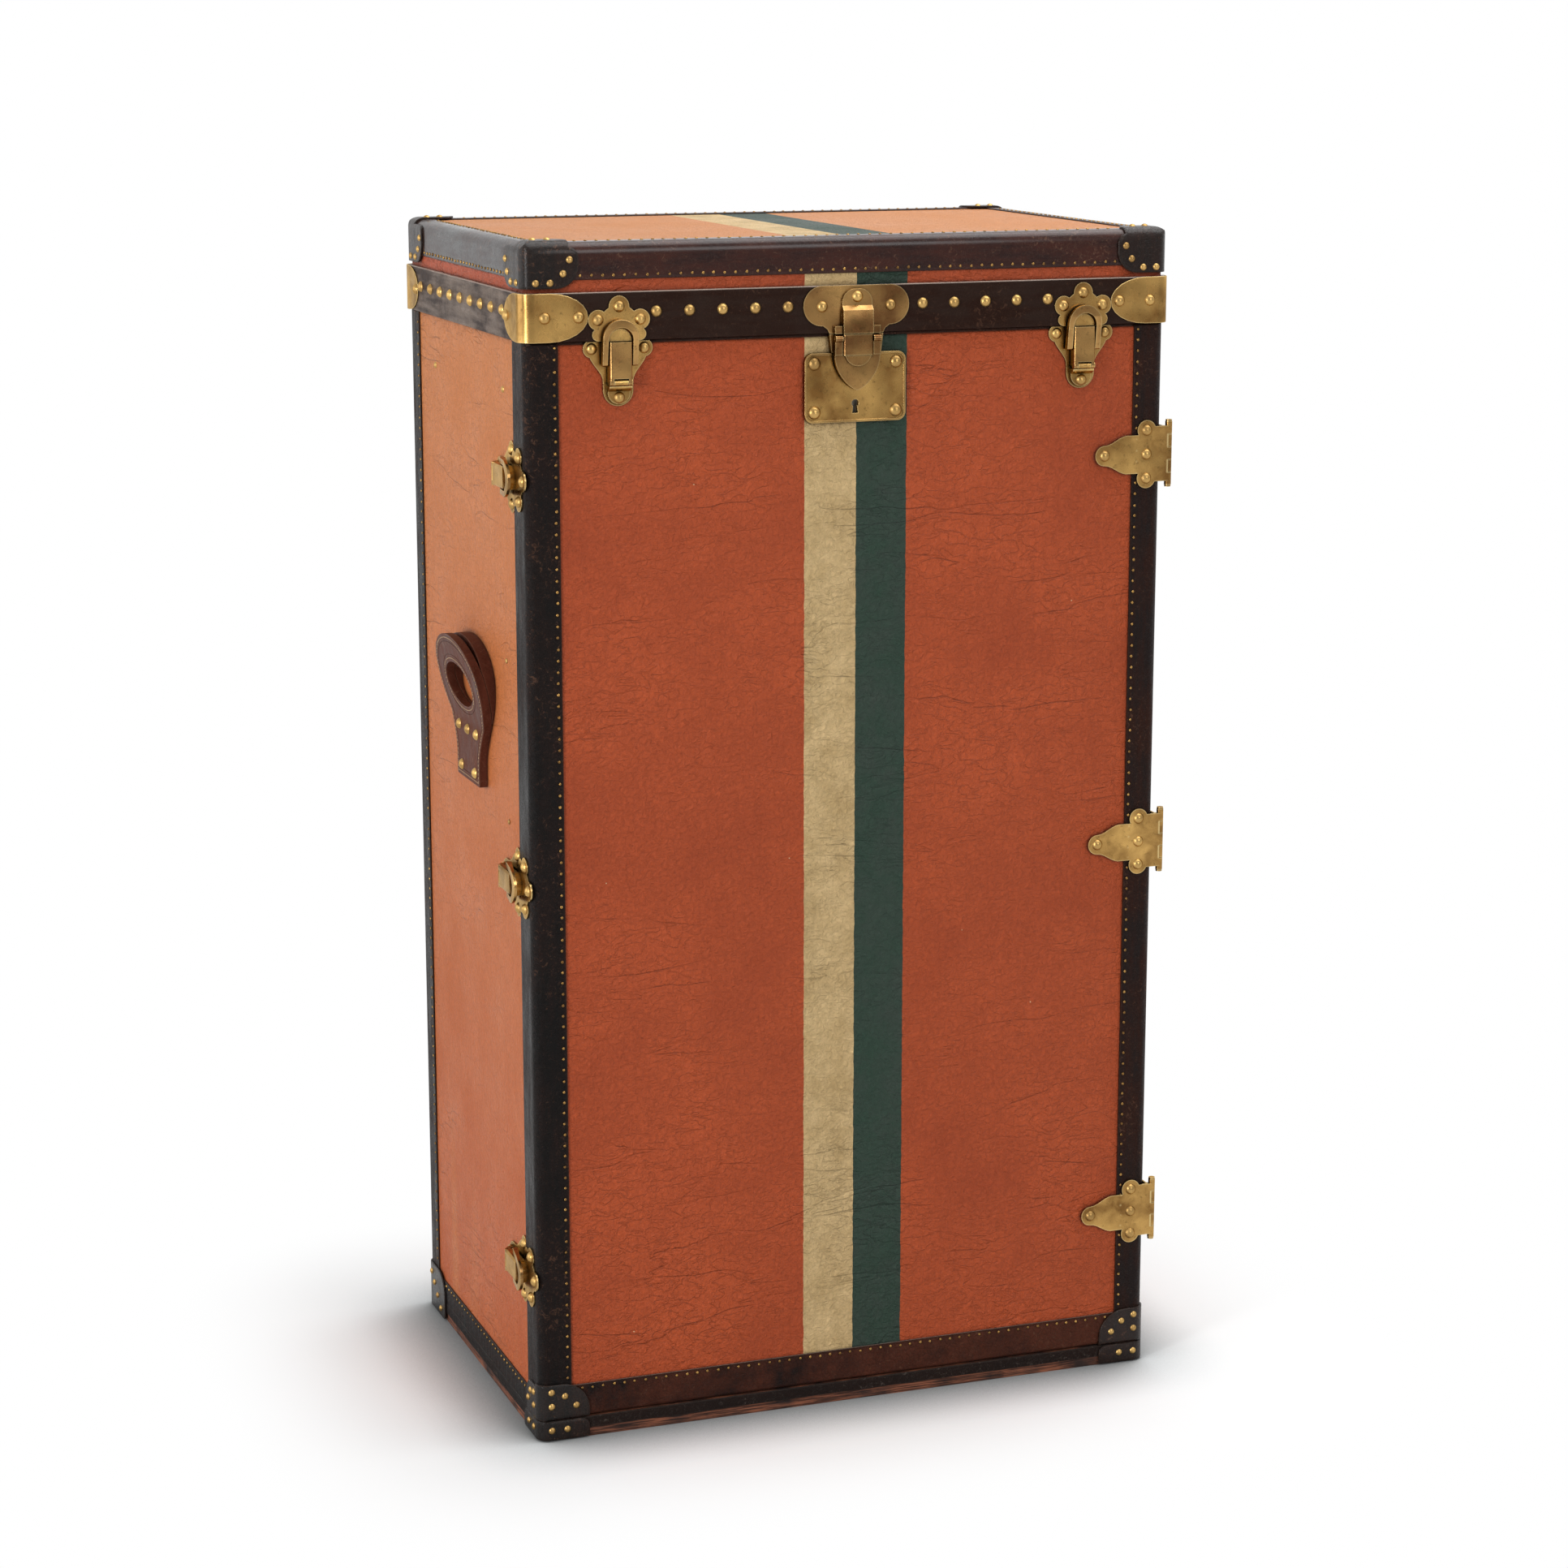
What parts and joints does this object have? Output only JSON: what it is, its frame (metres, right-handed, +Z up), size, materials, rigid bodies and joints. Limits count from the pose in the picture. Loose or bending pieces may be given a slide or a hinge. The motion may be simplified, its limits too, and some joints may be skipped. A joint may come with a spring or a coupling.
{
  "type": "cabin trunk",
  "caption": "Upright cabin trunk in painted canvas with leather binding, a lift-up lid, a hinged front door, toggle latches, a lock with hasp and side pull handles.",
  "frame": {"origin": "on the floor under the middle of the case, on the underside of the wear board", "axes": "+Z up, -Y out of the door, +X towards the door hinges"},
  "size_m": [0.6682, 0.4214, 1.1136],
  "materials": {
    "wood": "rough, aged",
    "canvas": "painted canvas, satin",
    "cloth": "woven lining",
    "black_leather": "worn, satin",
    "brown_leather": "polished, worn",
    "steel": "brushed",
    "brass": "aged"
  },
  "bodies": {
    "case": {"wear_board": "wood", "plinth": "wood", "plinth_band": "black_leather", "foot_caps": "black_leather", "case_shell": "wood", "case_canvas": "canvas", "case_binding": "black_leather", "case_lining": "cloth", "closing_lips": "wood", "hanging_rail": "steel", "rail_crossbar": "steel", "rail_sockets": "steel", "handle_left": "brown_leather", "handle_right": "brown_leather", "handle_pads": "black_leather", "case_rivets": "brass", "side_hinge_leaves": "brass", "door_hinge_pins": "brass", "lid_hinge_lower_leaves": "brass", "lid_hinge_pins": "brass", "side_latch_bases": "brass", "side_latch_pins": "brass"},
    "door": {"door_shell": "wood", "door_canvas": "canvas", "door_binding": "brown_leather", "door_lining": "cloth", "door_caps": "black_leather", "door_rivets": "brass", "lock_plate": "brass", "lock_box": "steel", "hasp_saddle": "brass", "hasp_pin": "brass", "front_hinge_leaves": "brass", "front_latch_bases": "brass", "front_latch_pins": "brass", "side_catches": "brass"},
    "lid": {"lid_shell": "wood", "lid_canvas": "canvas", "lid_binding": "brown_leather", "lid_lining": "cloth", "lid_belt": "brown_leather", "belt_clamps": "brass", "lid_caps": "black_leather", "lid_rivets": "brass", "hasp_plate": "brass", "front_catches": "brass", "lid_hinge_upper_leaves": "brass"},
    "hasp": {"hasp": "brass"},
    "front_lever_left": {"front_lever_left": "brass"},
    "front_loop_left": {"front_loop_left": "brass"},
    "front_lever_right": {"front_lever_right": "brass"},
    "front_loop_right": {"front_loop_right": "brass"},
    "side_lever_top": {"side_lever_top": "brass"},
    "side_loop_top": {"side_loop_top": "brass"},
    "side_lever_middle": {"side_lever_middle": "brass"},
    "side_loop_middle": {"side_loop_middle": "brass"},
    "side_lever_bottom": {"side_lever_bottom": "brass"},
    "side_loop_bottom": {"side_loop_bottom": "brass"}
  },
  "joints": [
    {"name": "lid_open", "type": "hinge", "parent": "case", "child": "lid", "pos_m": [0, 0.2066, 1.023], "axis": [-1, 0, 0], "range_deg": [0, 100]},
    {"name": "door_swing", "type": "hinge", "parent": "case", "child": "door", "pos_m": [0.317, -0.1985, 0.52875], "axis": [0, 0, 1], "range_deg": [0, 110]},
    {"name": "hasp_lift", "type": "hinge", "parent": "door", "child": "hasp", "pos_m": [0, -0.208, 1.019], "axis": [-1, 0, 0], "range_deg": [0, 100]},
    {"name": "front_lever_left_swing", "type": "hinge", "parent": "door", "child": "front_lever_left", "pos_m": [-0.224, -0.2075, 0.987], "axis": [1, 0, 0], "range_deg": [0, 95]},
    {"name": "front_loop_left_swing", "type": "hinge", "parent": "front_lever_left", "child": "front_loop_left", "pos_m": [-0.224, -0.2049, 1.004], "axis": [1, 0, 0], "range_deg": [0, 80]},
    {"name": "front_lever_right_swing", "type": "hinge", "parent": "door", "child": "front_lever_right", "pos_m": [0.224, -0.2075, 0.987], "axis": [1, 0, 0], "range_deg": [0, 95]},
    {"name": "front_loop_right_swing", "type": "hinge", "parent": "front_lever_right", "child": "front_loop_right", "pos_m": [0.224, -0.2049, 1.004], "axis": [1, 0, 0], "range_deg": [0, 80]},
    {"name": "side_lever_top_swing", "type": "hinge", "parent": "case", "child": "side_lever_top", "pos_m": [-0.3175, -0.125, 0.901], "axis": [0, 0, -1], "range_deg": [0, 95]},
    {"name": "side_loop_top_swing", "type": "hinge", "parent": "side_lever_top", "child": "side_loop_top", "pos_m": [-0.3149, -0.142, 0.901], "axis": [0, 0, -1], "range_deg": [0, 80]},
    {"name": "side_lever_middle_swing", "type": "hinge", "parent": "case", "child": "side_lever_middle", "pos_m": [-0.3175, -0.125, 0.52875], "axis": [0, 0, -1], "range_deg": [0, 95]},
    {"name": "side_loop_middle_swing", "type": "hinge", "parent": "side_lever_middle", "child": "side_loop_middle", "pos_m": [-0.3149, -0.142, 0.52875], "axis": [0, 0, -1], "range_deg": [0, 80]},
    {"name": "side_lever_bottom_swing", "type": "hinge", "parent": "case", "child": "side_lever_bottom", "pos_m": [-0.3175, -0.125, 0.1565], "axis": [0, 0, -1], "range_deg": [0, 95]},
    {"name": "side_loop_bottom_swing", "type": "hinge", "parent": "side_lever_bottom", "child": "side_loop_bottom", "pos_m": [-0.3149, -0.142, 0.1565], "axis": [0, 0, -1], "range_deg": [0, 80]}
  ]
}
